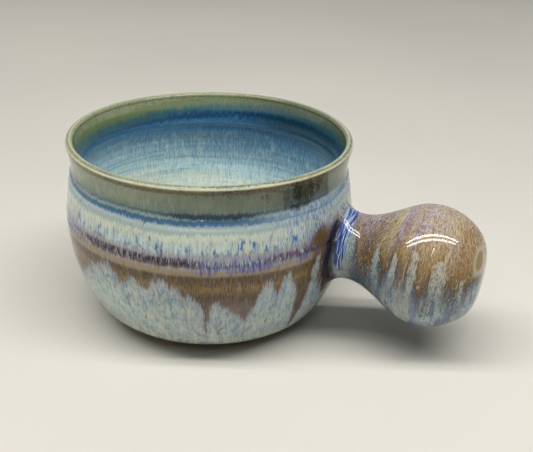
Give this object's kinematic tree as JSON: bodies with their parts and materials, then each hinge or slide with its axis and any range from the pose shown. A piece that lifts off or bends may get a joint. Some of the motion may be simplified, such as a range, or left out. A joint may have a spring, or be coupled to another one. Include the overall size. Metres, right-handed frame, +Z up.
{
  "type": "soup mug",
  "caption": "Wide round stoneware soup mug with a rolled lip, a turned foot ring and a hollow round knob for a handle.",
  "frame": {"origin": "middle of the foot ring, on the plane that the mug stands on", "axes": "+Z up along the bowl's axis, +X towards the handle, +Y to the left of the handle seen from the bowl"},
  "size_m": [0.1896, 0.1286, 0.0842],
  "materials": {
    "stoneware": "matt fired clay",
    "wall_glaze": "glossy streaked glaze",
    "rim_glaze": "glossy green glaze",
    "liner_glaze": "glossy blue glaze",
    "handle_glaze": "glossy brown and blue glaze"
  },
  "bodies": {
    "root": {"bowl": "stoneware", "handle": "stoneware", "luting_coil": "stoneware", "wall_glaze": "wall_glaze", "rim_glaze": "rim_glaze", "liner_glaze": "liner_glaze", "handle_glaze": "handle_glaze"}
  },
  "joints": []
}
